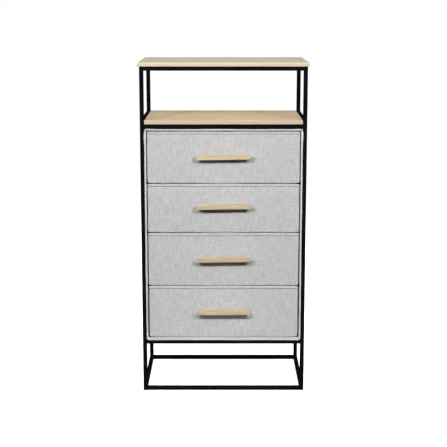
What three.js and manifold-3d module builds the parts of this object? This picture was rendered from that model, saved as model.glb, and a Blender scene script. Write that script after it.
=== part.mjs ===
// Fabric drawer dresser: a frame of square steel tube with a wooden top board,
// an open bay with a wooden shelf, and a fabric cabinet with four drawers.
// Millimetres, +Z up, front towards -Y, left is -X. The origin lies on the
// floor under the middle of the whole object, handles included.
import * as THREE from 'three';
import { mergeVertices } from 'three/addons/utils/BufferGeometryUtils.js';
import Module from 'manifold-3d';

// Overall frame
const frameWidth = 500;
const frameDepth = 320;
const tubeSide = 12.5;
const tubeWall = 1;
const tubeCorner = 1.5;
const footThickness = 2;

// Heights, from the floor up
const floorClearance = 151;
const drawer4Height = 160.5;
const drawer3Height = 163;
const drawer2Height = 148.5;
const drawer1Height = 156;
const openBayHeight = 147;

// Boards
const topThickness = 12;
const topOverhang = 6;
const topEdgeRadius = 2;
const topCornerRadius = 6;
const shelfThickness = 12;
const shelfEdgeRadius = 1.25;
const shelfSideClearance = 0.5;

// Cabinet panels, stiff boards covered with fabric
const sidePanelThickness = 5;
const topPanelThickness = 5.5;
const bottomPanelThickness = 8;
const backPanelThickness = 4;
const backPanelInset = 2;

// Drawer fronts
const frontThickness = 6;
const frontCornerRadius = 4;
const frontEdgeRadius = 1.5;
const frontSideGap = 2.5;
const frontGap = 3;

// Drawer bins
const binWall = 4;
const binFloor = 3;
const binRaise = 2;
const binTopDrop = 8;
const binSideInset = 2.5;
const binRearClearance = 14;
const baseBoardThickness = 3;
const baseBoardClearance = 1.5;

// Runners under the bins
const runnerWidth = 12;
const runnerHeight = 8;
const runnerWall = 1;
const runnerCorner = 1;
const runnerClearance = 0.3;
const runnerFrontSetback = 2;

// Handles
const handleLength = 160;
const handleHeight = 13;
const handleBarDepth = 12;
const handleReach = 25;
const handleFootWidth = 32;
const handleFootHeight = 6.5;
const handleEdgeRadius = 1;

// How far each handle sits above the middle of its drawer front
const handle4Raise = 2.25;
const handle3Raise = 3.25;
const handle2Raise = 7.5;
const handle1Raise = 2.25;

// Handle screws
const screwHeadRadius = 3.75;
const screwHeadHeight = 2.5;
const screwShankRadius = 1.75;
const screwGrip = 12;
const screwClearance = 0.3;

// How finely round shapes are divided, and how far a cut runs past its face
const cornerSteps = 2;
const boardEdgeSteps = 3;
const screwSides = 12;
const cutOverrun = 1;
const weldDistance = 1e-4;

// Places worked out from the sizes above
const frontY = (handleReach - frameDepth - topOverhang) / 2;
const rearY = frontY + frameDepth;
const openingWidth = frameWidth - 2 * tubeSide;
const railLength = frameDepth - 2 * tubeSide;
const cabinetRailZ = floorClearance;
const cabinetBottomZ = cabinetRailZ + tubeSide;
const drawersBottomZ = cabinetBottomZ + bottomPanelThickness;
const drawers = [
  [4, drawer4Height, handle4Raise],
  [3, drawer3Height, handle3Raise],
  [2, drawer2Height, handle2Raise],
  [1, drawer1Height, handle1Raise],
];
const drawersHeight = drawers.reduce((sum, [, height]) => sum + height + frontGap, frontGap);
const drawersTopZ = drawersBottomZ + drawersHeight;
const cabinetTopZ = drawersTopZ + topPanelThickness;
const shelfBottomZ = cabinetTopZ + tubeSide;
const shelfTopZ = shelfBottomZ + shelfThickness;
const topRailZ = shelfTopZ + openBayHeight;
const topBoardZ = topRailZ + tubeSide;
const cabinetInnerWidth = openingWidth - 2 * sidePanelThickness;
const backPanelY = rearY - backPanelInset - backPanelThickness;
const frontWidth = cabinetInnerWidth - 2 * frontSideGap;
const binWidth = frontWidth - 2 * binSideInset;
const binFrontY = frontY + frontThickness;
const binDepth = backPanelY - binRearClearance - binFrontY;

const wasm = await Module();
wasm.setup();

const dresser = new THREE.Group();

// Materials

function blackSteel() {
  return new THREE.MeshStandardMaterial({ color: 0x131417, roughness: 0.5, metalness: 0.2 });
}

function paleWood() {
  return new THREE.MeshStandardMaterial({ color: 0xd6c3a2, roughness: 0.55, metalness: 0 });
}

function handleWood() {
  return new THREE.MeshStandardMaterial({ color: 0xddbc8a, roughness: 0.5, metalness: 0 });
}

function greyFabric() {
  return new THREE.MeshStandardMaterial({ color: 0xc6c6c7, roughness: 0.95, metalness: 0 });
}

function linerFabric() {
  return new THREE.MeshStandardMaterial({ color: 0xb4b4b7, roughness: 0.95, metalness: 0 });
}

function fibreboard() {
  return new THREE.MeshStandardMaterial({ color: 0xa79a86, roughness: 0.9, metalness: 0 });
}

function zincSteel() {
  return new THREE.MeshStandardMaterial({ color: 0xb9bcc0, roughness: 0.35, metalness: 1 });
}

// Shapes

function roundedRectangle(width, height, radius) {
  const x = width / 2 - radius;
  const y = height / 2 - radius;
  const shape = new THREE.Shape();
  shape.absarc(x, y, radius, 0, Math.PI / 2, false);
  shape.absarc(-x, y, radius, Math.PI / 2, Math.PI, false);
  shape.absarc(-x, -y, radius, Math.PI, 1.5 * Math.PI, false);
  shape.absarc(x, -y, radius, 1.5 * Math.PI, 2 * Math.PI, false);
  shape.closePath();
  return shape;
}

// A slab centred on X and Y, from 0 to its thickness in Z, with every edge rounded
function roundedSlab(width, depth, thickness, corner, edge, steps) {
  const outline = roundedRectangle(width - 2 * edge, depth - 2 * edge, corner);
  const slab = new THREE.ExtrudeGeometry(outline, {
    depth: thickness - 2 * edge,
    bevelThickness: edge,
    bevelSize: edge,
    bevelSegments: steps,
    curveSegments: cornerSteps,
  });
  return slab.translate(0, 0, edge);
}

// Cutting and joining

function toSolid(geometry) {
  const bare = geometry.clone();
  bare.deleteAttribute('normal');
  bare.deleteAttribute('uv');
  const welded = mergeVertices(bare, weldDistance);
  return new wasm.Manifold(new wasm.Mesh({
    numProp: 3,
    vertProperties: Float32Array.from(welded.attributes.position.array),
    triVerts: Uint32Array.from(welded.index.array),
  }));
}

function toGeometry(solid) {
  const mesh = solid.getMesh();
  const geometry = new THREE.BufferGeometry();
  geometry.setAttribute('position', new THREE.BufferAttribute(mesh.vertProperties, 3));
  geometry.setIndex(new THREE.BufferAttribute(mesh.triVerts, 1));
  geometry.computeVertexNormals();
  return geometry;
}

function cut(geometry, tools) {
  let solid = toSolid(geometry);
  for (const tool of tools) {
    solid = solid.subtract(toSolid(tool));
  }
  return toGeometry(solid);
}

function join(geometry, others) {
  let solid = toSolid(geometry);
  for (const other of others) {
    solid = solid.add(toSolid(other));
  }
  return toGeometry(solid);
}

// A straight tube along Z, from 0 to its length, closed at its lower end where it has a foot
function tube(width, height, length, wall, corner, foot = -cutOverrun) {
  const bar = new THREE.ExtrudeGeometry(roundedRectangle(width, height, corner), {
    depth: length,
    bevelEnabled: false,
    curveSegments: cornerSteps,
  });
  const boreLength = length + cutOverrun - foot;
  const bore = new THREE.BoxGeometry(width - 2 * wall, height - 2 * wall, boreLength);
  bore.translate(0, 0, foot + boreLength / 2);
  return cut(bar, [bore]);
}

function place(name, geometry, material, x, y, z) {
  const mesh = new THREE.Mesh(geometry, material);
  mesh.name = name;
  mesh.position.set(x, y, z);
  dresser.add(mesh);
}

// Frame

const sides = [['left', -1], ['right', 1]];
const ends = [['front', frontY + tubeSide / 2], ['rear', rearY - tubeSide / 2]];
const postX = (frameWidth - tubeSide) / 2;

// A post has a welded foot and is open at the top, under the board
function makePosts() {
  for (const [endName, y] of ends) {
    for (const [sideName, sign] of sides) {
      const post = tube(tubeSide, tubeSide, topBoardZ, tubeWall, tubeCorner, footThickness);
      place(`post_${endName}_${sideName}`, post, blackSteel(), sign * postX, y, 0);
    }
  }
}

function makeCrossRails() {
  const levels = [
    ['floor', 0],
    ['cabinet', cabinetRailZ],
    ['shelf', cabinetTopZ],
    ['top', topRailZ],
  ];
  for (const [levelName, z] of levels) {
    for (const [endName, y] of ends) {
      const rail = tube(tubeSide, tubeSide, openingWidth, tubeWall, tubeCorner);
      rail.rotateY(Math.PI / 2);
      rail.translate(-openingWidth / 2, 0, tubeSide / 2);
      place(`${levelName}_rail_${endName}`, rail, blackSteel(), 0, y, z);
    }
  }
}

// The side rails beside the shelf finish level with its top face
function makeSideRails() {
  const levels = [
    ['floor', 0],
    ['cabinet', cabinetRailZ],
    ['shelf', shelfTopZ - tubeSide],
    ['top', topRailZ],
  ];
  for (const [levelName, z] of levels) {
    for (const [sideName, sign] of sides) {
      const rail = tube(tubeSide, tubeSide, railLength, tubeWall, tubeCorner);
      rail.rotateX(-Math.PI / 2);
      rail.translate(0, 0, tubeSide / 2);
      place(`${levelName}_rail_${sideName}`, rail, blackSteel(), sign * postX, frontY + tubeSide, z);
    }
  }
}

// Boards

function makeTopBoard() {
  const width = frameWidth + 2 * topOverhang;
  const depth = frameDepth + 2 * topOverhang;
  const board = roundedSlab(width, depth, topThickness, topCornerRadius, topEdgeRadius, boardEdgeSteps);
  place('top_board', board, paleWood(), 0, (frontY + rearY) / 2, topBoardZ);
}

function makeShelfBoard() {
  const width = openingWidth - 2 * shelfSideClearance;
  const edge = shelfEdgeRadius;
  const board = roundedSlab(width, frameDepth, shelfThickness, edge, edge, cornerSteps);
  place('shelf_board', board, paleWood(), 0, (frontY + rearY) / 2, shelfBottomZ);
}

// Cabinet

function makeCabinetPanels() {
  const middleY = (frontY + rearY) / 2;
  const sideHeight = cabinetTopZ - cabinetBottomZ;
  const sideX = (openingWidth - sidePanelThickness) / 2;
  for (const [sideName, sign] of sides) {
    const panel = new THREE.BoxGeometry(sidePanelThickness, frameDepth, sideHeight);
    const z = cabinetBottomZ + sideHeight / 2;
    place(`cabinet_side_${sideName}`, panel, greyFabric(), sign * sideX, middleY, z);
  }
  const floor = new THREE.BoxGeometry(cabinetInnerWidth, frameDepth, bottomPanelThickness);
  place('cabinet_bottom', floor, greyFabric(), 0, middleY, cabinetBottomZ + bottomPanelThickness / 2);
  const roof = new THREE.BoxGeometry(cabinetInnerWidth, frameDepth, topPanelThickness);
  place('cabinet_top', roof, greyFabric(), 0, middleY, drawersTopZ + topPanelThickness / 2);
  const back = new THREE.BoxGeometry(cabinetInnerWidth, backPanelThickness, drawersHeight);
  const backZ = drawersBottomZ + drawersHeight / 2;
  place('cabinet_back', back, greyFabric(), 0, backPanelY + backPanelThickness / 2, backZ);
}

// A drawer's pair of runners, fixed to the side panels under the bin's edges
function makeRunners(number, binBottomZ, bottomZ) {
  const startY = binFrontY + runnerFrontSetback;
  const length = backPanelY - startY;
  const top = binBottomZ - runnerClearance;
  const height = top - Math.max(bottomZ, top - runnerHeight);
  for (const [sideName, sign] of sides) {
    const runner = tube(runnerWidth, height, length, runnerWall, runnerCorner);
    runner.rotateX(-Math.PI / 2);
    const x = sign * (cabinetInnerWidth - runnerWidth) / 2;
    place(`runner_${number}_${sideName}`, runner, blackSteel(), x, startY, top - height / 2);
  }
}

// Drawers

// Holes along Y for a handle's two screws, centred on X and Z
function screwHoles(startY, length) {
  const spacing = handleLength - handleFootWidth;
  return [-spacing / 2, spacing / 2].map((x) => {
    const radius = screwShankRadius + screwClearance;
    const hole = new THREE.CylinderGeometry(radius, radius, length, screwSides);
    return hole.translate(x, startY + length / 2, 0);
  });
}

function binGeometry(height, handleZ) {
  const outer = new THREE.BoxGeometry(binWidth, binDepth, height);
  outer.translate(0, binDepth / 2, height / 2);
  const innerDepth = binDepth - 2 * binWall;
  const innerHeight = height - binFloor + cutOverrun;
  const inner = new THREE.BoxGeometry(binWidth - 2 * binWall, innerDepth, innerHeight);
  inner.translate(0, binDepth / 2, binFloor + innerHeight / 2);
  const holes = screwHoles(-cutOverrun, binWall + 2 * cutOverrun);
  holes.forEach((hole) => hole.translate(0, 0, handleZ));
  return cut(outer, [inner, ...holes]);
}

// The front panel stands with its outer face at Y = 0 and its lower edge at Z = 0
function frontGeometry(height, handleZ) {
  const panel = roundedSlab(
    frontWidth, height, frontThickness, frontCornerRadius, frontEdgeRadius, cornerSteps,
  );
  panel.rotateX(Math.PI / 2);
  panel.translate(0, frontThickness, height / 2);
  const holes = screwHoles(-cutOverrun, frontThickness + 2 * cutOverrun);
  holes.forEach((hole) => hole.translate(0, 0, handleZ));
  return cut(panel, holes);
}

// A wooden bar on two lower feet, its back at Y = 0 and centred on Z
function handleGeometry() {
  const edge = handleEdgeRadius;
  const bar = roundedSlab(handleLength, handleHeight, handleBarDepth, edge, edge, cornerSteps);
  bar.rotateX(Math.PI / 2);
  bar.translate(0, handleBarDepth - handleReach, 0);
  const footReach = handleReach - handleBarDepth + edge;
  const footX = (handleLength - handleFootWidth) / 2;
  const feet = [-footX, footX].map((x) => {
    const foot = new THREE.BoxGeometry(handleFootWidth - 2 * edge, footReach, handleFootHeight);
    return foot.translate(x, -footReach / 2, 0);
  });
  const holeDepth = screwGrip + cutOverrun;
  return cut(join(bar, feet), screwHoles(-holeDepth, holeDepth + cutOverrun));
}

// A pan head screw along -Y, with the underside of its head at Y = 0
function screwGeometry() {
  const length = binWall + frontThickness + screwGrip;
  const profile = [
    new THREE.Vector2(0, -length),
    new THREE.Vector2(screwShankRadius, -length),
    new THREE.Vector2(screwShankRadius, 0),
    new THREE.Vector2(screwHeadRadius, 0),
    new THREE.Vector2(screwHeadRadius, screwHeadHeight),
    new THREE.Vector2(0, screwHeadHeight),
  ];
  return new THREE.LatheGeometry(profile, screwSides);
}

function makeDrawer(number, bottomZ, height, handleRaise) {
  const binBottomZ = bottomZ + binRaise;
  const binHeight = height - binRaise - binTopDrop;
  const handleZ = bottomZ + height / 2 + handleRaise;
  const binInnerY = binFrontY + binWall;
  place(`drawer_${number}_front`, frontGeometry(height, handleZ - bottomZ), greyFabric(), 0, frontY, bottomZ);
  const bin = binGeometry(binHeight, handleZ - binBottomZ);
  place(`drawer_${number}_bin`, bin, linerFabric(), 0, binFrontY, binBottomZ);
  const baseWidth = binWidth - 2 * (binWall + baseBoardClearance);
  const baseDepth = binDepth - 2 * (binWall + baseBoardClearance);
  const base = new THREE.BoxGeometry(baseWidth, baseDepth, baseBoardThickness);
  const baseZ = binBottomZ + binFloor + baseBoardThickness / 2;
  place(`drawer_${number}_base_board`, base, fibreboard(), 0, binFrontY + binDepth / 2, baseZ);
  place(`drawer_${number}_handle`, handleGeometry(), handleWood(), 0, frontY, handleZ);
  for (const [sideName, sign] of sides) {
    const x = sign * (handleLength - handleFootWidth) / 2;
    place(`drawer_${number}_screw_${sideName}`, screwGeometry(), zincSteel(), x, binInnerY, handleZ);
  }
}

// Drawer 1 is the top one, and they are stacked from drawer 4 up
function makeDrawers() {
  let bottomZ = drawersBottomZ + frontGap;
  for (const [number, height, handleRaise] of drawers) {
    makeRunners(number, bottomZ + binRaise, drawersBottomZ);
    makeDrawer(number, bottomZ, height, handleRaise);
    bottomZ += height + frontGap;
  }
}

makePosts();
makeCrossRails();
makeSideRails();
makeTopBoard();
makeShelfBoard();
makeCabinetPanels();
makeDrawers();

export default dresser;
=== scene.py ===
# The finish of a fabric drawer dresser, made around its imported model.
# Metres, +Z up, the drawer fronts towards -Y, and left is -X.
import math

import bmesh
import bpy
from mathutils import Matrix, Vector, noise


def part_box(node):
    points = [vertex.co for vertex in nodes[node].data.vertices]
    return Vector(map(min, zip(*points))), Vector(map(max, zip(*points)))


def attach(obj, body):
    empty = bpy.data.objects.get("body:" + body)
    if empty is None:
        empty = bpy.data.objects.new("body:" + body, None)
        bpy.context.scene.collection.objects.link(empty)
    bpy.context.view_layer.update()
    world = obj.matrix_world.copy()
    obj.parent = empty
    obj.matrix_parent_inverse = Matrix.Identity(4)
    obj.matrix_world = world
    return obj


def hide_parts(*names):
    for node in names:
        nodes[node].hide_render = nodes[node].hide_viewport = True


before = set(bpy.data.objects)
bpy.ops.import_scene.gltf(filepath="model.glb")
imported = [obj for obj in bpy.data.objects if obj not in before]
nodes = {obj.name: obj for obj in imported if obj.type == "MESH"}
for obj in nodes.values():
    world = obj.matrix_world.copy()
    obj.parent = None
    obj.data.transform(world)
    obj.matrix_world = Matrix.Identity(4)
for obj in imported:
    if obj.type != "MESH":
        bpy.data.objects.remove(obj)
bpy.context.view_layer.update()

MM = 0.001
X, Y, Z = 0, 1, 2
sides = {"left": -1, "right": 1}
drawer_numbers = (1, 2, 3, 4)

# The camera, at the photograph's viewing angle
camera_place = Vector((0, -3450.5, 1186.9)) * MM
camera_pitch = math.radians(11.233)
camera_lens = 89.27
camera_sensor = 36

# Two lamps in front, each with a narrow one that favours the lower drawers, one just above
# the floor, one higher in front, one over the board, and softer ones beside and behind
dresser_middle = Vector((0, 0, 550)) * MM
key_place = Vector((1030, -1840, 1650)) * MM
key_size = 250 * MM
key_power = 24.8
low_key_aim = Vector((0, -150, 60)) * MM
low_key_power = 0.27
low_key_spread = math.radians(34)
floor_lamp_place = Vector((0, -1900, 100)) * MM
floor_lamp_aim = Vector((0, -170, -200)) * MM
floor_lamp_size = 300 * MM
floor_lamp_power = 0.5
floor_lamp_spread = math.radians(40)
above_size = 400 * MM
above = {
    "above_front": (Vector((0, -1900, 2100)) * MM, Vector((0, 0, 1100)) * MM, 11),
    "above_board": (Vector((0, 150, 2500)) * MM, Vector((0, 0, 1500)) * MM, 5.2),
}
fill_reach = 2600 * MM
fill_size = 1400 * MM
fills = {
    "left": (math.radians(-100), math.radians(6), 46),
    "right": (math.radians(100), math.radians(6), 46),
    "rear": (math.radians(180), math.radians(20), 30),
}

# The white room: how little of it lights the dresser, and how bright the floor looks
room_light = 0.013
floor_bounce = 0.04
floor_shade = 0.8
floor_glow = 0.93
floor_glow_reach = (1200 * MM, 3000 * MM)
floor_side = 30

# Steel tube
tube_corner = 1.5 * MM
tube_wall = 1 * MM
tube_corner_steps = 4
tube_band = 2.2 * MM

# Wooden boards
top_corner = 8 * MM
top_upper_edge = 5 * MM
top_lower_edge = 1 * MM
top_edge_steps = 5
top_band = 5 * MM
shelf_edge = 1.2 * MM
shelf_edge_steps = 3
shelf_band = 2.2 * MM

# The cabinet's sewn cover
cover_low_corner = 7 * MM
cover_top_corner = 12 * MM
cover_corner_steps = 7
cover_square_from = 14 * MM
cover_square_by = 19 * MM
cover_fold = 1.6 * MM
corner_tolerance = 0.2 * MM
cover_rim = 2.3 * MM
cover_rim_steps = 4
cover_step = 7 * MM
cover_depth_step = 9 * MM
cover_rim_proud = 2.4 * MM
cover_rim_depth = 12 * MM
cover_side_crown = 1.6 * MM
cover_lip = 1.3 * MM
cover_lip_below_top = 25 * MM
cover_lip_spread = 14 * MM
cover_sag = 2 * MM
cover_sag_ease = 24 * MM
cover_sag_middle_share = 0.35
cover_sag_middle_spread = 45 * MM
cover_sag_depth = 55 * MM
cover_slack_gap = 1.5 * MM
cover_slack_height = 60 * MM
cover_slack_spread = 75 * MM

# Gentle unevenness in the cloth: its height, its length, and where in the noise it begins
ripples = {
    "cover side": (0.7 * MM, 90 * MM, 3),
    "cover rim across": (0.5 * MM, 60 * MM, 7),
    "cover rim up": (0.5 * MM, 80 * MM, 11),
    "back": (0.35 * MM, 70 * MM, 19),
    "front upper line": (0.25 * MM, 110 * MM, 23),
    "front lower line": (0.25 * MM, 110 * MM, 29),
    "front": (0.35 * MM, 70 * MM, 31),
    "bin across": (0.5 * MM, 80 * MM, 37),
    "bin up": (0.5 * MM, 60 * MM, 41),
}

# Cloth covered panels
panel_crowding = 0.6
panel_end_crowding = 0.85
crown_power = 4
front_columns = 96
front_rows = 150
front_crown = 1.2 * MM
front_edge = 2.4 * MM
front_side_gaps = {1: 0.6 * MM, 2: 0.8 * MM, 3: 1.1 * MM, 4: 1.5 * MM}
front_top_gaps = {1: 0.5 * MM, 2: 0, 3: 0, 4: 0}
front_low_corner = 6 * MM
front_top_corner = 2.5 * MM
sag_depths = {1: 2.1 * MM, 2: 2 * MM, 3: 2.3 * MM, 4: 1.7 * MM}
sag_plain_shares = {1: 0.2, 2: 0.3, 3: 0.4, 4: 0.8}
sag_side_share = 0.5
sag_middle_spread = 50 * MM
sag_side_place = 185 * MM
sag_side_spread = 14 * MM
sag_end_power = 14
low_edge_power = 8
top_edge_power = 12
stiffener_inset = 10 * MM
stiffener_ridge = 0.18 * MM
stiffener_spread = 1.4 * MM
hem_width = 7 * MM
hem_rise = 0.9 * MM
hem_ease = 0.5 * MM
seam_below_hem = 1.1 * MM
seam_depth = 1.3 * MM
seam_spread = 1.1 * MM
foot_press_reach = 8 * MM
foot_press_ease = 9 * MM
dip_place = 9 * MM
dip_spread = 12 * MM
dip_depth = 1.3 * MM
back_columns = 70
back_rows = 96
back_crown = 1.4 * MM
back_hem_width = 12 * MM
back_seam_spread = 2.2 * MM
back_edge = 1 * MM

# Stitches
stitch_length = 3 * MM
stitch_width = 0.7 * MM
stitch_pitch = 4.2 * MM
stitch_above_seam = 1.6 * MM
stitch_end_gap = 5 * MM

# Drawer bins
bin_corner = 8 * MM
bin_corner_steps = 5
bin_base_edge = 2.5 * MM
bin_base_steps = 3
bin_wall = 4 * MM
bin_step = 12 * MM
bin_side_bow_share = 0.011
bin_rear_bow_share = 0.014
binding_width = 11 * MM
binding_rise = 0.5 * MM
binding_ease = 0.6 * MM
card_corner = 2 * MM
card_edge = 0.4 * MM
card_edge_steps = 2

# The finishes: where each range begins and ends, and how much each part of a look counts
crossing_ease = 0.25
tall_streak_share = 1.2
flat_streak_share = 0.8
slub_height = 0.8
yarn_gap = 0.7
# Painted shade in the gaps between the yarns, and along the seam
painted_yarn_gap_shade = 0.7
painted_seam_shade = 0.7
yarn_roughness = (0.98, 0.84)
felt_point_range = (0.7, 1.7)
felt_tone = 0.2
felt_fibre_share = 0.9
felt_patch_share = 0.7
felt_point_share = 0.5
felt_roughness = (0.95, 0.75)
felt_fibre_height = 0.7
grain_bend = 0.02
figure_share = 0.9
hair_share = 0.5
blush_range = (0, 0.2)
blush_share = 0.6
pore_range = (0.14, 0.26)
pore_share = 0.45
# Wood faces that face up less than this get the full painted side shade
painted_shade_level = 0.6
wood_roughness = 0.66
streak_roughness = 0.4
fading_range = (-0.2, 0.2)
dust_level = 0.8
dust_range = (0, 0.3)
dust_share = 0.08
dust_roughness = 0.6
coat_roughness = 0.5
patch_roughness = 0.3
rub_range = (-0.12, 0.16)
rub_least = 0.15
edge_range = (0.2, 0.8)
fleck_range = (0.1, 0.2)
fleck_share = 0.6
mat_range = (-0.3, 0.3)
mat_shades = (0.85, 1.08)
mat_roughness = 0.2
card_roughness = 0.9
rubbed_wood_roughness = 0.15
rubbed_coat_roughness = -0.12
spangle_range = (-0.2, 0.2)
zinc_streak_roughness = 0.3
zinc_roughness = 0.3

# Handles and their screws
handle_edge = 1 * MM
handle_edge_steps = 3
handle_band = 1.8 * MM
handle_bar_depth = 12 * MM
handle_foot_width = 30 * MM
handle_foot_inset = 1 * MM
handle_foot_height = 6.5 * MM
handle_tilts = {1: 0.8, 2: 0.7, 3: 0.9, 4: 0.2}
screw_turns = 24
screw_dome_steps = 5
screw_shank = 1.75 * MM
screw_head_height = 2.5 * MM
screw_rim_share = 0.4
screw_tip = 3 * MM

# How far two faces turn before the line between them is drawn sharp, before it is a corner
# to be rounded, and before it is fully worn
hard_angle = math.radians(40)
soft_angle = math.radians(70)
corner_angle = math.radians(60)
worn_angle = math.radians(12)

# How exactly a mesh is measured
straight_share = 0.999
facing_share = 0.9
merge_distance = 0.01 * MM
level_tolerance = 0.1 * MM
face_tolerance = 1 * MM


def display_colour(red, green, blue):
    """A colour given as it shows on a screen, 0 to 255, as the linear colour that shaders take."""
    shown = [value / 255 for value in (red, green, blue)]
    linear = [value / 12.92 if value <= 0.04045 else ((value + 0.055) / 1.055) ** 2.4 for value in shown]
    return (*linear, 1)


# Shader nodes

def feed(socket, value):
    """Links a socket to another's output, or sets its own value."""
    if isinstance(value, bpy.types.NodeSocket):
        socket.id_data.links.new(value, socket)
    else:
        socket.default_value = value


def feed_all(node, values):
    """Feeds several of a node's inputs, each found by its name or number."""
    for name, value in values.items():
        feed(node.inputs[name], value)


def new_node(tree, kind, **settings):
    node = tree.nodes.new(f"ShaderNode{kind}")
    for name, value in settings.items():
        setattr(node, name, value)
    return node


def fed_node(kind, inputs, **settings):
    """A new node with its inputs fed, in the tree that they come from."""
    sources = [value for value in inputs.values() if isinstance(value, bpy.types.NodeSocket)]
    node = new_node(sources[0].id_data, kind, **settings)
    feed_all(node, inputs)
    return node


def work_out(operation, first, second=0.0, third=0.0):
    return fed_node("Math", {0: first, 1: second, 2: third}, operation=operation).outputs[0]


def times(first, second):
    return work_out("MULTIPLY", first, second)


def times_plus(first, second, added):
    return work_out("MULTIPLY_ADD", first, second, added)


def scaled_by(vector, scale):
    return fed_node("VectorMath", {0: vector, 1: scale}, operation="MULTIPLY").outputs[0]


def spread_over(value, low, high, start=0.0, end=1.0):
    """Carries a value from the range low to high over to start to end, held at both ends."""
    inputs = {"Value": value, "From Min": low, "From Max": high, "To Min": start, "To Max": end}
    return fed_node("MapRange", inputs, interpolation_type="SMOOTHSTEP").outputs[0]


def mixed(factor, first, second):
    """A colour that goes from the first to the second as the factor goes from 0 to 1."""
    return fed_node("Mix", {0: factor, 6: first, 7: second}, data_type="RGBA").outputs[2]


def between(factor, first, second):
    """A value that goes from the first to the second as the factor goes from 0 to 1."""
    return fed_node("Mix", {0: factor, 2: first, 3: second}, data_type="FLOAT").outputs[0]


def darkened(colour, factor):
    """A colour times a grey factor."""
    grey = fed_node("CombineColor", {0: factor, 1: factor, 2: factor}).outputs[0]
    inputs = {0: 1.0, 6: colour, 7: grey}
    return fed_node("Mix", inputs, data_type="RGBA", blend_type="MULTIPLY").outputs[2]


def cloud(vector, stretch, detail):
    """Smooth noise, centred on zero, with so many lumps in a metre each way."""
    inputs = {"Vector": scaled_by(vector, stretch), "Scale": 1.0, "Detail": detail}
    return work_out("SUBTRACT", fed_node("TexNoise", inputs).outputs[0], 0.5)


def split_vector(vector):
    return fed_node("SeparateXYZ", {0: vector}).outputs


def join_vector(x, y, z):
    return fed_node("CombineXYZ", {0: x, 1: y, 2: z}).outputs[0]


def facing_up(tree):
    """How squarely a surface faces up: 1 when level, 0 when upright and -1 underneath."""
    return split_vector(new_node(tree, "NewGeometry").outputs["Normal"])[Z]


def new_group(name, outputs, inputs):
    """An empty shader group: its tree, its input sockets at their first values, and its end node."""
    tree = bpy.data.node_groups.new(name, "ShaderNodeTree")
    for label, value in inputs.items():
        kind = "Float" if isinstance(value, float) else {3: "Vector", 4: "Color"}[len(value)]
        socket = tree.interface.new_socket(label, in_out="INPUT", socket_type=f"NodeSocket{kind}")
        socket.default_value = value
    for label, kind in outputs.items():
        tree.interface.new_socket(label, in_out="OUTPUT", socket_type=f"NodeSocket{kind}")
    start = tree.nodes.new("NodeGroupInput")
    end = tree.nodes.new("NodeGroupOutput")
    return tree, start.outputs, end


finish_outputs = {"Color": "Color", "Roughness": "Float", "Height": "Float"}
white = (1, 1, 1, 1)
black = (0, 0, 0, 1)
origin = (0, 0, 0)


def thread_waves(given):
    """Which yarn lies on top, and how high each stands, in a plain weave."""
    u, v, _ = split_vector(given["Cloth"])
    counts = [work_out("DIVIDE", side, given["Yarn Width"]) for side in (u, v)]
    warp, weft = [work_out("SINE", times(count, math.pi)) for count in counts]
    over = spread_over(times(warp, weft), -crossing_ease, crossing_ease)
    return over, work_out("ABSOLUTE", warp), work_out("ABSOLUTE", weft)


def make_plain_weave():
    """Linen-like cloth: slubby yarns crossing one over one, with short pale and dark streaks, and painted
    shade in the gaps between the yarns and along the seam.
    """
    tree, given, end = new_group("plain_weave", finish_outputs, {
        "Cloth": origin, "Yarn Width": 0.9 * MM, "Light Yarn": white, "Dark Yarn": black,
        "Slub": 1.6, "Streak": 1.4, "Seam": 0.0,
    })
    over, warp, weft = thread_waves(given)
    warp_slub = cloud(given["Cloth"], (1100, 36, 1), 1.0)
    weft_slub = cloud(given["Cloth"], (36, 1100, 1), 1.0)
    slub = between(over, weft_slub, warp_slub)
    tall_streak = cloud(given["Cloth"], (250, 34, 1), 2.0)
    flat_streak = cloud(given["Cloth"], (32, 240, 1), 2.0)
    streak = times_plus(tall_streak, tall_streak_share, times(flat_streak, flat_streak_share))
    tone = times_plus(slub, given["Slub"], 0.5)
    tone = times_plus(streak, given["Streak"], tone)
    height = between(over, weft, warp)
    colour = mixed(spread_over(tone, 0, 1), given["Dark Yarn"], given["Light Yarn"])
    # Painted shade in the gaps between the yarns
    colour = darkened(colour, spread_over(height, 0, yarn_gap, painted_yarn_gap_shade))
    # Painted shade along the seam's groove
    colour = darkened(colour, spread_over(given["Seam"], 0, 1, 1.0, painted_seam_shade))
    feed_all(end, {
        "Color": colour,
        "Roughness": spread_over(height, 0, 1, *yarn_roughness),
        "Height": times_plus(slub, slub_height, height),
    })
    return tree


def make_bonded_felt():
    """Non-woven lining: matted fibres pressed together at small regular points."""
    tree, given, end = new_group("bonded_felt", finish_outputs, {
        "Cloth": origin, "Point Pitch": 1.6 * MM, "Fibre": white, "Pressed": black,
    })
    u, v, _ = split_vector(given["Cloth"])
    turns = work_out("DIVIDE", 2 * math.pi, given["Point Pitch"])
    waves = [work_out("COSINE", times(side, turns)) for side in (u, v)]
    pressed = spread_over(work_out("ADD", *waves), *felt_point_range)
    fibres = cloud(given["Cloth"], (1500, 1500, 1), 3.0)
    patches = cloud(given["Cloth"], (60, 60, 1), 3.0)
    tone = times_plus(fibres, felt_fibre_share, felt_tone)
    tone = times_plus(patches, felt_patch_share, tone)
    tone = times_plus(pressed, felt_point_share, tone)
    feed_all(end, {
        "Color": mixed(spread_over(tone, 0, 1), given["Fibre"], given["Pressed"]),
        "Roughness": spread_over(pressed, 0, 1, *felt_roughness),
        "Height": work_out("SUBTRACT", times(fibres, felt_fibre_height), pressed),
    })
    return tree


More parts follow.
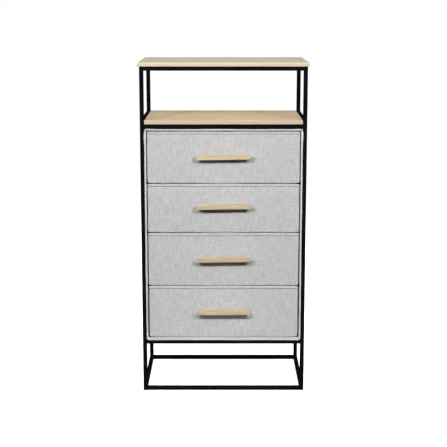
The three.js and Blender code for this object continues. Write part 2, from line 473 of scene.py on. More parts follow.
def make_wood_grain():
    """Pale wood with its grain along X: broad figure, narrow streaks and short pores, and painted shade
    that darkens its faces that are not level.
    """
    tree, given, end = new_group("wood_grain", finish_outputs, {
        "Place": origin, "Pale": white, "Deep": black, "Blush": white, "Pore": black,
        "Contrast": 1.5, "Painted Side Shade": 1.0,
    })
    x, y, z = split_vector(given["Place"])
    bend = cloud(given["Place"], (2.5, 9, 9), 2.0)
    flow = join_vector(x, times_plus(bend, grain_bend, y), z)
    figure = cloud(flow, (1.6, 34, 34), 2.0)
    streaks = cloud(flow, (6, 190, 190), 4.0)
    hairs = cloud(flow, (20, 1000, 1000), 2.0)
    pores = cloud(flow, (45, 1500, 1500), 1.0)
    tone = times_plus(figure, figure_share, streaks)
    tone = times_plus(hairs, hair_share, tone)
    tone = times_plus(tone, given["Contrast"], 0.5)
    colour = mixed(spread_over(tone, 0, 1), given["Deep"], given["Pale"])
    hue = cloud(given["Place"], (3, 60, 60), 2.0)
    colour = mixed(spread_over(hue, *blush_range, 0.0, blush_share), colour, given["Blush"])
    pore = spread_over(pores, *pore_range, 0.0, pore_share)
    colour = mixed(pore, colour, given["Pore"])
    # Painted shade: faces that are not level are darkened, for how the light falls on them
    level = work_out("ABSOLUTE", facing_up(tree))
    feed_all(end, {
        "Color": darkened(colour, spread_over(level, painted_shade_level, 1, given["Painted Side Shade"])),
        "Roughness": times_plus(streaks, streak_roughness, wood_roughness),
        "Height": work_out("SUBTRACT", streaks, pore),
    })
    return tree


def make_powder_coat():
    """Baked powder paint: a fine orange peel, uneven sheen and a little dust on top faces."""
    tree, given, end = new_group("powder_coat", finish_outputs, {
        "Place": origin, "Paint": black, "Faded": black, "Dust": white,
    })
    patches = cloud(given["Place"], (16, 16, 16), 3.0)
    colour = mixed(spread_over(patches, *fading_range), given["Paint"], given["Faded"])
    settled = spread_over(facing_up(tree), dust_level, 1)
    specks = spread_over(cloud(given["Place"], (240, 240, 240), 4.0), *dust_range, 0.0, dust_share)
    dust = times(settled, specks)
    sheen = times_plus(patches, patch_roughness, coat_roughness)
    feed_all(end, {
        "Color": mixed(dust, colour, given["Dust"]),
        "Roughness": times_plus(dust, dust_roughness, sheen),
        "Height": cloud(given["Place"], (900, 900, 900), 2.0),
    })
    return tree


def make_edge_wear():
    """Rubbed edges: another colour where the surface turns, broken up by noise."""
    tree, given, end = new_group("edge_wear", {"Color": "Color", "Mask": "Float"}, {
        "Place": origin, "Edge": 0.0, "Color": white, "Worn": white, "Amount": 0.5,
    })
    rubs = spread_over(cloud(given["Place"], (45, 45, 45), 4.0), *rub_range, rub_least)
    mask = times(times(spread_over(given["Edge"], *edge_range), rubs), given["Amount"])
    feed_all(end, {"Color": mixed(mask, given["Color"], given["Worn"]), "Mask": mask})
    return tree


def make_board_fibre():
    """Raw grey board: short matted fibres, with a few darker flecks."""
    tree, given, end = new_group("board_fibre", finish_outputs, {
        "Place": origin, "Board": white, "Fleck": black,
    })
    mat = cloud(given["Place"], (500, 700, 700), 4.0)
    flecks = spread_over(cloud(given["Place"], (900, 260, 260), 2.0), *fleck_range, 0.0, fleck_share)
    shaded = darkened(given["Board"], spread_over(mat, *mat_range, *mat_shades))
    feed_all(end, {
        "Color": mixed(flecks, shaded, given["Fleck"]),
        "Roughness": times_plus(mat, mat_roughness, card_roughness),
        "Height": mat,
    })
    return tree


plain_weave = make_plain_weave()
bonded_felt = make_bonded_felt()
wood_grain = make_wood_grain()
powder_coat = make_powder_coat()
edge_wear = make_edge_wear()
board_fibre = make_board_fibre()


# Materials

def new_material(name):
    material = bpy.data.materials.new(name)
    material.use_nodes = True
    return material, material.node_tree, material.node_tree.nodes["Principled BSDF"]


def use_group(group, inputs):
    return fed_node("Group", inputs, node_tree=group).outputs


def object_place(tree):
    return new_node(tree, "TexCoord").outputs["Object"]


def cloth_place(tree):
    return new_node(tree, "UVMap", uv_map="cloth").outputs[0]


def painted_mark(tree, name):
    return new_node(tree, "Attribute", attribute_name=name).outputs["Fac"]


def relief(height, strength, depth):
    return fed_node("Bump", {"Height": height, "Strength": strength, "Distance": depth}).outputs[0]


def surface(finish, strength, depth):
    """What a finish gives its shader: a colour, a roughness and a relief."""
    return {
        "Base Color": finish["Color"], "Roughness": finish["Roughness"],
        "Normal": relief(finish["Height"], strength, depth),
    }


def linen(name, light, dark):
    material, tree, shader = new_material(name)
    woven = use_group(plain_weave, {
        "Cloth": cloth_place(tree), "Light Yarn": display_colour(*light),
        "Dark Yarn": display_colour(*dark), "Seam": painted_mark(tree, "seam"),
    })
    feed_all(shader, {
        **surface(woven, strength=0.5, depth=0.25 * MM),
        "Specular IOR Level": 0.05, "Sheen Weight": 0.02, "Sheen Roughness": 0.5,
    })
    return material


def lining(name, fibre, pressed):
    material, tree, shader = new_material(name)
    felt = use_group(bonded_felt, {
        "Cloth": cloth_place(tree), "Fibre": display_colour(*fibre), "Pressed": display_colour(*pressed),
    })
    feed_all(shader, {**surface(felt, strength=0.4, depth=0.2 * MM), "Specular IOR Level": 0.1})
    return material


def wood(name, colours, worn, contrast, depth, painted_side_shade=1.0):
    material, tree, shader = new_material(name)
    place = object_place(tree)
    grain = use_group(wood_grain, {
        "Place": place, "Contrast": contrast, "Painted Side Shade": painted_side_shade,
        **{label: display_colour(*colour) for label, colour in colours.items()},
    })
    rubbed = use_group(edge_wear, {
        "Place": place, "Edge": painted_mark(tree, "worn_edge"), "Color": grain["Color"],
        "Worn": display_colour(*worn),
    })
    feed_all(shader, {
        **surface(grain, strength=0.35, depth=depth), "Base Color": rubbed["Color"],
        "Roughness": times_plus(rubbed["Mask"], rubbed_wood_roughness, grain["Roughness"]),
        "Specular IOR Level": 0.002,
    })
    return material


def coated_steel(name):
    material, tree, shader = new_material(name)
    place = object_place(tree)
    coat = use_group(powder_coat, {
        "Place": place, "Paint": display_colour(10, 10, 13), "Faded": display_colour(18, 18, 23),
        "Dust": display_colour(70, 69, 68),
    })
    rubbed = use_group(edge_wear, {
        "Place": place, "Edge": painted_mark(tree, "worn_edge"), "Color": coat["Color"],
        "Worn": display_colour(30, 30, 34), "Amount": 0.3,
    })
    feed_all(shader, {
        **surface(coat, strength=0.25, depth=0.12 * MM), "Base Color": rubbed["Color"],
        "Roughness": times_plus(rubbed["Mask"], rubbed_coat_roughness, coat["Roughness"]),
        "Specular IOR Level": 0,
    })
    return material


def grey_card(name):
    material, tree, shader = new_material(name)
    card = use_group(board_fibre, {
        "Place": object_place(tree), "Board": display_colour(168, 156, 138),
        "Fleck": display_colour(112, 100, 84),
    })
    feed_all(shader, surface(card, strength=0.3, depth=0.15 * MM))
    return material


def plated_steel(name):
    material, tree, shader = new_material(name)
    place = object_place(tree)
    streaks = cloud(place, (2600, 2600, 2600), 3.0)
    spangle = spread_over(cloud(place, (700, 700, 700), 2.0), *spangle_range)
    feed_all(shader, {
        "Base Color": mixed(spangle, display_colour(178, 180, 184), display_colour(206, 207, 209)),
        "Roughness": times_plus(streaks, zinc_streak_roughness, zinc_roughness),
        "Normal": relief(streaks, strength=0.15, depth=0.05 * MM), "Metallic": 1,
    })
    return material


# Colours as they show on a screen: red, green and blue, from 0 to 255
board_colours = {
    "Pale": (222, 206, 179), "Deep": (199, 182, 152), "Blush": (214, 194, 166), "Pore": (165, 143, 110),
}
shelf_colours = {
    "Pale": (229, 209, 177), "Deep": (207, 185, 150), "Blush": (224, 197, 167), "Pore": (170, 146, 110),
}
handle_colours = {
    "Pale": (216, 199, 166), "Deep": (194, 171, 138), "Blush": (208, 181, 160), "Pore": (153, 124, 92),
}
board_worn = (224, 209, 183)
shelf_worn = (222, 205, 180)
handle_worn = (228, 208, 172)
cabinet_cloth = linen("cabinet_cloth", light=(228, 227, 232), dark=(210, 209, 215))
front_cloth = linen("front_cloth", light=(212, 212, 213), dark=(190, 190, 190))
back_cloth = lining("back_cloth", fibre=(186, 186, 190), pressed=(164, 164, 169))
bin_cloth = lining("bin_cloth", fibre=(190, 190, 194), pressed=(168, 168, 173))
# The boards' faces that are not level get painted shade, more of it on the shelf
board_wood = wood("board_wood", board_colours, board_worn, contrast=1.5, depth=0.12 * MM, painted_side_shade=0.96)
shelf_wood = wood("shelf_wood", shelf_colours, shelf_worn, contrast=1.5, depth=0.12 * MM, painted_side_shade=0.86)
handle_wood = wood("handle_wood", handle_colours, handle_worn, contrast=1.7, depth=0.15 * MM)
black_steel = coated_steel("black_steel")
base_card = grey_card("base_card")
zinc_steel = plated_steel("zinc_steel")
thread = linen("thread", light=(206, 206, 208), dark=(180, 180, 183))


# Shaping

def box_between(low, high):
    bm = bmesh.new()
    bmesh.ops.create_cube(bm, size=1)
    bmesh.ops.scale(bm, vec=high - low, verts=bm.verts)
    bmesh.ops.translate(bm, vec=(low + high) / 2, verts=bm.verts)
    return bm


def edges_along(bm, axis):
    """The straight edges that run along one axis."""
    found = []
    for edge in bm.edges:
        run = edge.verts[1].co - edge.verts[0].co
        if abs(run[axis]) > straight_share * run.length:
            found.append(edge)
    return found


def faces_towards(bm, axis, sign):
    bm.normal_update()
    return [face for face in bm.faces if face.normal[axis] * sign > facing_share]


def corner_edges(bm):
    """The edges where two faces meet at a sharp angle."""
    return [edge for edge in bm.edges if edge.calc_face_angle(0) > corner_angle]


def round_off(bm, parts, radius, steps, affect="EDGES"):
    bmesh.ops.bevel(
        bm, geom=parts, offset=radius, offset_type="OFFSET", segments=steps, profile=0.5,
        affect=affect, material=-1, clamp_overlap=True,
    )


def cut_through(bm, axis, place):
    """Cuts every face where the mesh crosses one plane."""
    middle = Vector()
    middle[axis] = place
    normal = Vector()
    normal[axis] = 1
    geometry = bm.verts[:] + bm.edges[:] + bm.faces[:]
    bmesh.ops.bisect_plane(bm, geom=geometry, dist=merge_distance, plane_co=middle, plane_no=normal)


def slice_along(bm, axis, step):
    """Cuts the mesh at even steps along one axis, so that it can bend there."""
    places = [vert.co[axis] for vert in bm.verts]
    low, high = min(places), max(places)
    count = round((high - low) / step)
    for index in range(1, count):
        cut_through(bm, axis, low + (high - low) * index / count)


def bell(value, centre, spread):
    return math.exp(-((value - centre) / spread) ** 2)


def eased_step(value, low, high):
    share = min(max((value - low) / (high - low), 0), 1)
    return share * share * (3 - 2 * share)


def arch(value, low, high):
    """Rises from 0 at low to 1 halfway, and falls back to 0 at high."""
    return math.sin(math.pi * min(max((value - low) / (high - low), 0), 1))


def corner_inset(distance, radius):
    """How far a round of this radius falls back, at a distance in from its edge."""
    if distance >= radius:
        return 0.0
    reach = radius - max(distance, 0)
    return radius - math.sqrt(radius * radius - reach * reach)


def crowded(share, strength):
    """Moves evenly spaced shares closer together towards both ends."""
    return share - strength * math.sin(2 * math.pi * share) / (2 * math.pi)


def ripple(name, place):
    """How far the cloth strays from its plain shape at a place, the same in every run."""
    height, length, beginning = ripples[name]
    return height * noise.noise(place / length + Vector((beginning, beginning, beginning)))


def cut_bands(bm, low, high, axes, width):
    """Cuts lines a little inside each edge, so that the wear stays along the edges."""
    for axis in axes:
        cut_through(bm, axis, low[axis] + width)
        cut_through(bm, axis, high[axis] - width)


def verts_of(made):
    """The points among all that an extrusion made."""
    return [item for item in made["geom"] if isinstance(item, bmesh.types.BMVert)]


def mark_edges(bm):
    """Stores how much the surface turns at each corner, for wear along the edges."""
    layer = bm.verts.layers.float.new("worn_edge")
    bm.normal_update()
    for vert in bm.verts:
        turns = [vert.normal.angle(face.normal, 0) for face in vert.link_faces]
        vert[layer] = min(max(turns, default=0) / worn_angle, 1)


def lay_cloth(bm):
    """Gives each face its place on flat cloth, in metres, seen along the axis that it faces most."""
    cloth = bm.loops.layers.uv.new("cloth")
    bm.normal_update()
    for face in bm.faces:
        facing = [abs(value) for value in face.normal]
        axis = facing.index(max(facing))
        u, v = {X: (Y, Z), Y: (X, Z), Z: (X, Y)}[axis]
        for loop in face.loops:
            loop[cloth].uv = (loop.vert.co[u], loop.vert.co[v])


def mesh_from(bm, name, material):
    mesh = bpy.data.meshes.new(name)
    bm.to_mesh(mesh)
    bm.free()
    mesh.materials.append(material)
    return mesh


def add_object(name, data):
    made = bpy.data.objects.new(name, data)
    bpy.context.scene.collection.objects.link(made)
    return made


def finish_piece(bm, name, material, body, replaced, angle=hard_angle):
    """Turns a bmesh into a piece of the dresser that rides on a body and stands for CAD nodes."""
    mesh = mesh_from(bm, name, material)
    mesh.polygons.foreach_set("use_smooth", [True] * len(mesh.polygons))
    mesh.set_sharp_from_angle(angle=angle)
    piece = add_object(name, mesh)
    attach(piece, body)
    if replaced:
        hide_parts(*replaced)


# The steel frame

def make_tube(node, axis, closed_end=0):
    """A square steel tube with rounded corners, open at its ends unless one is closed."""
    low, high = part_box(node)
    if axis != Z:
        low[axis] -= tube_corner
        high[axis] += tube_corner
    bm = box_between(low, high)
    round_off(bm, edges_along(bm, axis), tube_corner, tube_corner_steps)
    ends = [face for sign in (-1, 1) if sign != closed_end for face in faces_towards(bm, axis, sign)]
    bmesh.ops.delete(bm, geom=ends, context="FACES_ONLY")
    cut_bands(bm, low, high, [across for across in (X, Y, Z) if across != axis], tube_band)
    bmesh.ops.solidify(bm, geom=bm.faces[:], thickness=tube_wall)
    mark_edges(bm)
    finish_piece(bm, f"{node}_tube", black_steel, "dresser_frame", [node])


def make_frame():
    for end in ("front", "rear"):
        for side in sides:
            make_tube(f"post_{end}_{side}", Z, closed_end=-1)
    for level in ("floor", "cabinet", "shelf", "top"):
        for end in ("front", "rear"):
            make_tube(f"{level}_rail_{end}", X)
        for side in sides:
            make_tube(f"{level}_rail_{side}", Y)


def paint_runners():
    for number in drawer_numbers:
        for side in sides:
            runner = nodes[f"runner_{number}_{side}"]
            runner.data.materials.clear()
            runner.data.materials.append(black_steel)


# The wooden boards

def make_top_board():
    low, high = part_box("top_board")
    bm = box_between(low, high)
    round_off(bm, edges_along(bm, Z), top_corner, top_edge_steps)
    for level, radius in ((high.z, top_upper_edge), (low.z, top_lower_edge)):
        rim = [
            edge for edge in bm.edges
            if all(abs(vert.co.z - level) < level_tolerance for vert in edge.verts)
        ]
        round_off(bm, rim, radius, top_edge_steps)
    cut_bands(bm, low, high, (X, Y), top_band)
    mark_edges(bm)
    finish_piece(bm, "top_board_wood", board_wood, "dresser_frame", ["top_board"])


def make_shelf_board():
    low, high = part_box("shelf_board")
    bm = box_between(low, high)
    round_off(bm, bm.edges[:], shelf_edge, shelf_edge_steps)
    cut_bands(bm, low, high, (X, Y, Z), shelf_band)
    mark_edges(bm)
    finish_piece(bm, "shelf_board_wood", shelf_wood, "dresser_frame", ["shelf_board"])


# The cabinet

def cover_limits():
    """The lowest and highest corners of the cover outside, and of the space inside it."""
    outer_low, left_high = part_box("cabinet_side_left")
    right_low, outer_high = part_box("cabinet_side_right")
    inner_low = Vector((left_high.x, outer_low.y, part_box("cabinet_bottom")[1].z))
    inner_high = Vector((right_low.x, outer_high.y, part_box("cabinet_top")[0].z))
    return outer_low, outer_high, inner_low, inner_high


def square_corner(place, low, high, radius, upper, share):
    """Moves a point of a round corner towards the square one, by a share, and tells if it did."""
    from_side = high.x - abs(place.x)
    from_end = high.z - place.z if upper else place.z - low.z
    reach = Vector((radius - from_side, radius - from_end))
    if min(reach) <= 0 or abs(reach.length - radius) > corner_tolerance:
        return False
    grown = reach * (1 + share * (radius / max(reach) - 1))
    place.x = math.copysign(high.x - radius + grown.x, place.x)
    place.z = high.z - radius + grown.y if upper else low.z + radius - grown.y
    return True


def cover_ring(outer_low, outer_high, inner_low, inner_high):
    """The cover's front rim as a flat ring in the XZ plane, with round corners."""
    bm = bmesh.new()
    bmesh.ops.create_grid(bm, x_segments=1, y_segments=1, size=0.5)
    bmesh.ops.rotate(bm, matrix=Matrix.Rotation(math.radians(90), 3, "X"), verts=bm.verts)
    size = Vector((outer_high.x - outer_low.x, 1, outer_high.z - outer_low.z))
    bmesh.ops.scale(bm, vec=size, verts=bm.verts)
    middle = Vector(((outer_low.x + outer_high.x) / 2, outer_low.y, (outer_low.z + outer_high.z) / 2))
    bmesh.ops.translate(bm, vec=middle, verts=bm.verts)
    top_corners = [vert for vert in bm.verts if vert.co.z > middle.z]
    low_corners = [vert for vert in bm.verts if vert.co.z < middle.z]
    for corners, radius in ((top_corners, cover_top_corner), (low_corners, cover_low_corner)):
        round_off(bm, corners, radius, cover_corner_steps, affect="VERTICES")
    wall = inner_low.x - outer_low.x
    ring = bmesh.ops.inset_region(
        bm, faces=bm.faces[:], thickness=wall, use_even_offset=True, use_boundary=True,
    )["faces"]
    opening = [face for face in bm.faces if face not in ring]
    inset_low = outer_low + Vector((wall, 0, wall))
    inset_high = outer_high - Vector((wall, 0, wall))
    stretch = (inner_high.z - inner_low.z) / (inset_high.z - inset_low.z)
    for vert in opening[0].verts:
        square_corner(vert.co, inset_low, inset_high, cover_top_corner - wall, vert.co.z > middle.z, 1)
        vert.co.z = inner_low.z + (vert.co.z - inset_low.z) * stretch
    bmesh.ops.delete(bm, geom=opening, context="FACES_ONLY")
    return bm


def pull_out(bm, depth):
    """Pulls a flat ring back along +Y into a closed sleeve."""
    pulled = bmesh.ops.extrude_face_region(bm, geom=bm.faces[:])
    bmesh.ops.translate(bm, vec=Vector((0, depth, 0)), verts=verts_of(pulled))
    bmesh.ops.recalc_face_normals(bm, faces=bm.faces[:])


def top_strip_sag(across, half_width):
    """How far the strip above the drawers hangs below its rail: least at its ends and its middle."""
    held = 1 - eased_step(abs(across), half_width - cover_sag_ease, half_width)
    return cover_sag * held * (1 - cover_sag_middle_share * bell(across, 0, cover_sag_middle_spread))


def fold_corners(bm, outer_low, outer_high):
    """Fills the cover's round outer corners out behind its rim, where the folded cloth bulges."""
    for vert in bm.verts:
        upper = vert.co.z > (outer_low.z + outer_high.z) / 2
        radius = cover_top_corner if upper else cover_low_corner
        share = eased_step(vert.co.y, outer_low.y + cover_square_from, outer_low.y + cover_square_by)
        if square_corner(vert.co, outer_low, outer_high, radius, upper, share):
            vert.co.x += math.copysign(cover_fold * share, vert.co.x)


def shape_cover(bm, outer_low, outer_high, inner_low, inner_high):
    """Makes the cover soft: a proud uneven rim in front, and slack between the posts."""
    lip_z = outer_high.z - cover_lip_below_top
    for vert in bm.verts:
        place = vert.co.copy()
        front = 1 - eased_step(place.y, outer_low.y, outer_low.y + cover_rim_depth)
        outer_side = eased_step(abs(place.x), outer_high.x - face_tolerance, outer_high.x)
        along = arch(place.y, outer_low.y, outer_high.y)
        up = arch(place.z, outer_low.z, outer_high.z)
        sign = 1 if place.x > 0 else -1
        slack = (cover_side_crown * up + ripple("cover side", place)) * along
        vert.co.x += sign * outer_side * slack
        vert.co.y -= cover_rim_proud * front
        vert.co.x += front * ripple("cover rim across", place)
        vert.co.z += front * ripple("cover rim up", place)
        in_front = 1 - eased_step(vert.co.y, outer_low.y - face_tolerance, outer_low.y)
        vert.co.x += sign * cover_lip * outer_side * in_front * bell(place.z, lip_z, cover_lip_spread)
        in_strip = eased_step(place.z, inner_high.z - face_tolerance, outer_high.z)
        hanging = 1 - eased_step(place.y, outer_low.y, outer_low.y + cover_sag_depth)
        vert.co.z -= top_strip_sag(place.x, inner_high.x) * in_strip * hanging
        inner_side = 1 - eased_step(abs(place.x), inner_high.x, inner_high.x + face_tolerance)
        inner_side *= eased_step(abs(place.x), inner_high.x - face_tolerance, inner_high.x)
        slack_up = bell(place.z, inner_low.z + cover_slack_height, cover_slack_spread)
        vert.co.x += sign * cover_slack_gap * inner_side * slack_up * front


def make_cabinet_cover():
    limits = cover_limits()
    outer_low, outer_high = limits[:2]
    bm = cover_ring(*limits)
    slice_along(bm, X, cover_step)
    slice_along(bm, Z, cover_step)
    pull_out(bm, outer_high.y - outer_low.y)
    round_off(bm, corner_edges(bm), cover_rim, cover_rim_steps)
    slice_along(bm, Y, cover_depth_step)
    fold_corners(bm, outer_low, outer_high)
    shape_cover(bm, *limits)
    lay_cloth(bm)
    replaced = ["cabinet_side_left", "cabinet_side_right", "cabinet_bottom", "cabinet_top"]
    finish_piece(
        bm, "cabinet_cover", cabinet_cloth, "dresser_frame", replaced, soft_angle,
    )


def cloth_panel(low, high, outward, columns, rows, profile):
    """A board under cloth: a fine outer face that profile shapes, straight sides and a flat back."""
    bm = bmesh.new()
    bmesh.ops.create_grid(bm, x_segments=columns, y_segments=rows, size=0.5)
    seam_layer = bm.verts.layers.float.new("seam")
    outer_y, back_y = (low.y, high.y) if outward < 0 else (high.y, low.y)
    size = high - low
    for vert in bm.verts:
        across = crowded(vert.co.x + 0.5, panel_end_crowding) * size.x - size.x / 2
        up = crowded(vert.co.y + 0.5, panel_crowding) * size.z
        x, z, rise, seam = profile(size, across, up)
        vert.co = ((low.x + high.x) / 2 + x, outer_y + outward * rise, low.z + z)
        vert[seam_layer] = seam
    rim = [edge for edge in bm.edges if edge.is_boundary]
    for vert in verts_of(bmesh.ops.extrude_edge_only(bm, edges=rim)):
        vert.co.y = back_y
    bmesh.ops.contextual_create(bm, geom=[edge for edge in bm.edges if edge.is_boundary])
    bmesh.ops.recalc_face_normals(bm, faces=bm.faces[:])
    return bm


def freedom(size, across, up):
    """How freely a panel's cloth can rise: 1 in its middle, and 0 along its edges."""
    across_share = 2 * across / size.x
    up_share = 2 * up / size.z - 1
    return (1 - across_share ** crown_power) * (1 - up_share ** crown_power)


def back_profile(size, across, up):
    """The back panel: slack cloth with a sewn hem all round."""
    edge = min(size.x / 2 - abs(across), up, size.z - up)
    free = freedom(size, across, up)
    seam = bell(edge, back_hem_width, back_seam_spread)
    rise = (back_crown + ripple("back", Vector((across, 0, up)))) * free - seam_depth * seam
    return across, up, rise - corner_inset(edge, back_edge), seam


def make_cabinet_back():
    low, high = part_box("cabinet_back")
    bm = cloth_panel(low, high, 1, back_columns, back_rows, back_profile)
    lay_cloth(bm)
    finish_piece(
        bm, "cabinet_back_cloth", back_cloth, "dresser_frame", ["cabinet_back"],
        soft_angle,
    )


# The drawers

def foot_place(number):
    """Where the middle of a handle's right foot is, across and up its drawer front."""
    low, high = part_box(f"drawer_{number}_handle")
    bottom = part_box(f"drawer_{number}_front")[0].z
    return high.x - handle_foot_inset - handle_foot_width / 2, (low.z + high.z) / 2 - bottom


def foot_press(foot, across, up):
    """How firmly the handle's feet press the cloth down here, from 0 to 1."""
    beside = abs(abs(across) - foot[0]) - handle_foot_width / 2
    above = abs(up - foot[1]) - foot_press_reach
    apart = max(beside, above, 0)
    return 1 - eased_step(apart, 0, foot_press_ease)


def low_edge_sag(number, size, across):
    """How far the cloth hangs below the front's board: most in the middle, nothing at its ends."""
    plain = sag_plain_shares[number]
    wave = bell(across, 0, sag_middle_spread)
    wave += sag_side_share * bell(abs(across), sag_side_place, sag_side_spread)
    ends = 1 - (2 * abs(across) / size.x) ** sag_end_power
    return sag_depths[number] * ends * (plain + (1 - plain) * wave)


def front_profile(number):
    """The shape of one drawer front's cloth."""
    foot = foot_place(number)

    def profile(size, across, up):
        down = size.z - up
        side = size.x / 2 - abs(across)
        corner = corner_inset(up, front_low_corner) + corner_inset(down, front_top_corner)
        x = across * (1 - 2 * (corner + front_side_gaps[number]) / size.x)
        top_share = up / size.z
        line = Vector((across, 0, number))
        z = up + top_share * ripple("front upper line", line)
        z += (1 - top_share) * ripple("front lower line", line)
        z -= low_edge_sag(number, size, across) * (1 - top_share) ** low_edge_power
        drop = front_top_gaps[number]
        if number == 1:
            drop += dip_depth * bell(across, dip_place, dip_spread)
        z -= drop * top_share ** top_edge_power
        free = freedom(size, across, up)
        unpressed = 1 - foot_press(foot, across, up)
        rise = (front_crown + ripple("front", Vector((across, number, up)))) * free * unpressed
        rise += stiffener_ridge * bell(side, stiffener_inset, stiffener_spread) * free
        hem = 1 - eased_step(down, hem_width - hem_ease, hem_width)
        seam = bell(down, hem_width + seam_below_hem, seam_spread)
        rise += hem_rise * hem - seam_depth * seam
        rise -= corner_inset(min(side, up, down), front_edge)
        return x, z, rise, seam
    return profile


def make_front(number):
    node = f"drawer_{number}_front"
    low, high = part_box(node)
    bm = cloth_panel(low, high, -1, front_columns, front_rows, front_profile(number))
    lay_cloth(bm)
    finish_piece(bm, f"{node}_cloth", front_cloth, f"drawer_{number}", [node], soft_angle)


def make_stitches(number):
    """One row of stitches through the hem of a drawer front."""
    low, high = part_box(f"drawer_{number}_front")
    profile = front_profile(number)
    size = high - low
    up = size.z - hem_width + stitch_above_seam
    bm = bmesh.new()
    reach = size.x - 2 * stitch_end_gap
    count = int(reach / stitch_pitch)
    for index in range(count):
        across = -reach / 2 + (index + 0.5) * reach / count
        x, z, rise, _ = profile(size, across, up)
        stitch = bmesh.ops.create_icosphere(bm, subdivisions=1, radius=0.5)["verts"]
        bmesh.ops.scale(bm, vec=Vector((stitch_length, stitch_width, stitch_width)), verts=stitch)
        place = Vector(((low.x + high.x) / 2 + x, low.y - rise, low.z + z))
        bmesh.ops.translate(bm, vec=place, verts=stitch)
    lay_cloth(bm)
    body = f"drawer_{number}"
    finish_piece(bm, f"{body}_stitches", thread, body, [], soft_angle)


def bow_bin(bm, low, high):
    """Lets the bin's walls lean in towards their middles, most at the top."""
    middle_x = (low.x + high.x) / 2
    for vert in bm.verts:
        place = vert.co.copy()
        along = arch(place.y, low.y, high.y)
        across = arch(place.x, low.x, high.x)
        up = eased_step(place.z, low.z, high.z)
        vert.co.x = middle_x + (place.x - middle_x) * (1 - bin_side_bow_share * along * up)
        vert.co.y = low.y + (place.y - low.y) * (1 - bin_rear_bow_share * across * up)
        vert.co.x += along * up * ripple("bin across", place)
        vert.co.z += along * up * ripple("bin up", place)


def raise_binding(bm, top):
    """Thickens the folded band along the bin's rim."""
    bm.normal_update()
    for vert in bm.verts:
        share = eased_step(vert.co.z, top - binding_width - binding_ease, top - binding_width)
        flat = Vector((vert.normal.x, vert.normal.y, 0))
        vert.co += flat * binding_rise * share


def make_bin(number):
    node = f"drawer_{number}_bin"
    low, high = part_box(node)
    bm = box_between(low, high)
    bmesh.ops.delete(bm, geom=faces_towards(bm, Z, 1), context="FACES_ONLY")
    round_off(bm, edges_along(bm, Z), bin_corner, bin_corner_steps)
    round_off(bm, corner_edges(bm), bin_base_edge, bin_base_steps)
    for axis in (X, Y, Z):
        slice_along(bm, axis, bin_step)
    for drop in (binding_width, binding_width + binding_ease):
        cut_through(bm, Z, high.z - drop)
    bow_bin(bm, low, high)
    bmesh.ops.solidify(bm, geom=bm.faces[:], thickness=bin_wall)
    raise_binding(bm, high.z)
    lay_cloth(bm)
    finish_piece(bm, f"{node}_cloth", bin_cloth, f"drawer_{number}", [node], soft_angle)


def make_base(number):
    node = f"drawer_{number}_base_board"
    low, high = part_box(node)
    bm = box_between(low, high)
    round_off(bm, edges_along(bm, Z), card_corner, bin_corner_steps)
    round_off(bm, corner_edges(bm), card_edge, card_edge_steps)
    finish_piece(bm, f"{node}_card", base_card, f"drawer_{number}", [node])


def make_handle(number):
    """A bar on two lower feet, cut from one piece of wood."""
    node = f"drawer_{number}_handle"
    low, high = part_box(node)
    bar_back = low.y + handle_bar_depth
    middle = (low + high) / 2
    bm = box_between(low, Vector((high.x, bar_back, high.z)))
    foot_outer = high.x - handle_foot_inset
    foot_inner = foot_outer - handle_foot_width
    for x in (-foot_outer, -foot_inner, foot_inner, foot_outer):
        cut_through(bm, X, x)
    for sign in (-1, 1):
        cut_through(bm, Z, middle.z + sign * handle_foot_height / 2)
    for face in faces_towards(bm, Y, 1):
        centre = face.calc_center_median()
        if foot_inner < abs(centre.x) < foot_outer and abs(centre.z - middle.z) < handle_foot_height / 2:
            pulled = bmesh.ops.extrude_discrete_faces(bm, faces=[face])["faces"][0]
            bmesh.ops.translate(bm, vec=Vector((0, high.y - bar_back, 0)), verts=pulled.verts)
    round_off(bm, corner_edges(bm), handle_edge, handle_edge_steps)
    cut_bands(bm, low, high, (X, Y, Z), handle_band)
    mark_edges(bm)
    tilt = Matrix.Rotation(-math.radians(handle_tilts[number]), 3, "Y")
    bmesh.ops.rotate(bm, cent=middle, matrix=tilt, verts=bm.verts)
    finish_piece(bm, f"{node}_bar", handle_wood, f"drawer_{number}", [node])


def make_screw(number, side):
    """A pan head screw along -Y, turned from its outline."""
    node = f"drawer_{number}_screw_{side}"
    low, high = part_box(node)
    head_radius = (high.x - low.x) / 2
    seat_y = high.y - screw_head_height
    outline = [(0, low.y), (screw_shank, low.y + screw_tip), (screw_shank, seat_y), (head_radius, seat_y)]
    for step in range(screw_dome_steps + 1):
        turn = math.pi / 2 * step / screw_dome_steps
        height_share = screw_rim_share + (1 - screw_rim_share) * math.sin(turn)
        outline.append((head_radius * math.cos(turn), seat_y + screw_head_height * height_share))
    bm = bmesh.new()
    verts = [bm.verts.new((radius, y, 0)) for radius, y in outline]
    edges = [bm.edges.new(pair) for pair in zip(verts, verts[1:])]
    bmesh.ops.spin(
        bm, geom=verts + edges, cent=Vector(), axis=Vector((0, 1, 0)), dvec=Vector(),
        angle=2 * math.pi, steps=screw_turns, use_merge=True,
    )
    bmesh.ops.remove_doubles(bm, verts=bm.verts[:], dist=merge_distance)
    bmesh.ops.recalc_face_normals(bm, faces=bm.faces[:])
    middle = (low + high) / 2
    bmesh.ops.translate(bm, vec=Vector((middle.x, 0, middle.z)), verts=bm.verts)
    finish_piece(bm, f"{node}_zinc", zinc_steel, f"drawer_{number}", [node])


def make_drawers():
    for number in drawer_numbers:
        make_front(number)
        make_stitches(number)
        make_bin(number)
        make_base(number)
        make_handle(number)
        for side in sides:
            make_screw(number, side)


# The stage

def make_camera():
    data = bpy.data.cameras.new("camera")
    data.lens = camera_lens
    data.sensor_width = camera_sensor
    camera = add_object("camera", data)
    camera.location = camera_place
    camera.rotation_euler = (math.radians(90) - camera_pitch, 0, 0)
    bpy.context.scene.camera = camera


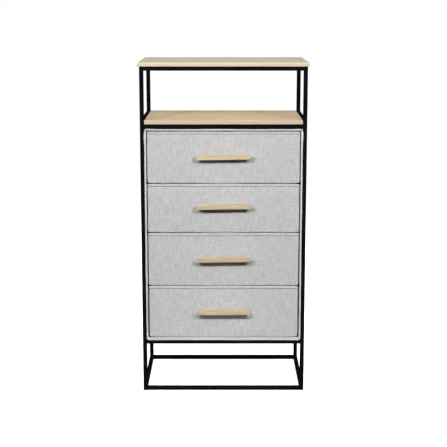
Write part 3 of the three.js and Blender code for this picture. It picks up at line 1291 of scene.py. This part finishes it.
def make_lamp(name, place, aim, size, power, spread=math.pi):
    """A square lamp that no camera sees, turned to face its aim."""
    data = bpy.data.lights.new(name, "AREA")
    data.shape = "SQUARE"
    data.size = size
    data.energy = power
    data.spread = spread
    lamp = add_object(name, data)
    lamp.location = place
    lamp.rotation_euler = (aim - place).to_track_quat("-Z", "Y").to_euler()
    lamp.visible_camera = False


def around(azimuth, elevation, reach):
    """A point at a reach from the middle of the dresser; azimuth 0 is in front."""
    flat = math.cos(elevation) * reach
    away = Vector((math.sin(azimuth) * flat, -math.cos(azimuth) * flat, math.sin(elevation) * reach))
    return dresser_middle + away


def make_lamps():
    for side, sign in sides.items():
        place = Vector((sign * key_place.x, key_place.y, key_place.z))
        make_lamp(f"key_{side}", place, dresser_middle, key_size, key_power)
        make_lamp(f"low_key_{side}", place, low_key_aim, key_size, low_key_power, low_key_spread)
    make_lamp(
        "floor_lamp", floor_lamp_place, floor_lamp_aim, floor_lamp_size, floor_lamp_power,
        floor_lamp_spread,
    )
    for name, (place, aim, power) in above.items():
        make_lamp(name, place, aim, above_size, power)
    for name, (azimuth, elevation, power) in fills.items():
        place = around(azimuth, elevation, fill_reach)
        make_lamp(f"fill_{name}", place, dresser_middle, fill_size, power)


def seen_directly(tree):
    """1 for camera, glossy and transmission rays, and 0 for the rays that light things."""
    path = new_node(tree, "LightPath").outputs
    seen = work_out("MAXIMUM", path["Is Camera Ray"], path["Is Glossy Ray"])
    return work_out("MAXIMUM", seen, path["Is Transmission Ray"])


def make_world():
    world = bpy.data.worlds.new("room")
    world.use_nodes = True
    tree = world.node_tree
    strength = between(seen_directly(tree), room_light, 1.0)
    feed_all(tree.nodes["Background"], {"Color": white, "Strength": strength})
    bpy.context.scene.world = world


def make_floor():
    material, tree, shader = new_material("floor_paint")
    seen = seen_directly(tree)
    away = fed_node("VectorMath", {0: object_place(tree)}, operation="LENGTH").outputs["Value"]
    glow = spread_over(away, *floor_glow_reach, floor_glow, 1.0)
    feed_all(shader, {
        "Base Color": darkened(white, between(seen, floor_bounce, floor_shade)),
        "Roughness": 1, "Specular IOR Level": 0,
        "Emission Color": white, "Emission Strength": times(seen, glow),
    })
    bm = bmesh.new()
    bmesh.ops.create_grid(bm, x_segments=1, y_segments=1, size=floor_side / 2)
    add_object("floor", mesh_from(bm, "floor", material))


make_camera()
make_lamps()
make_world()
make_floor()
make_frame()
paint_runners()
make_top_board()
make_shelf_board()
make_cabinet_cover()
make_cabinet_back()
make_drawers()
bpy.context.scene.view_settings.view_transform = "Standard"
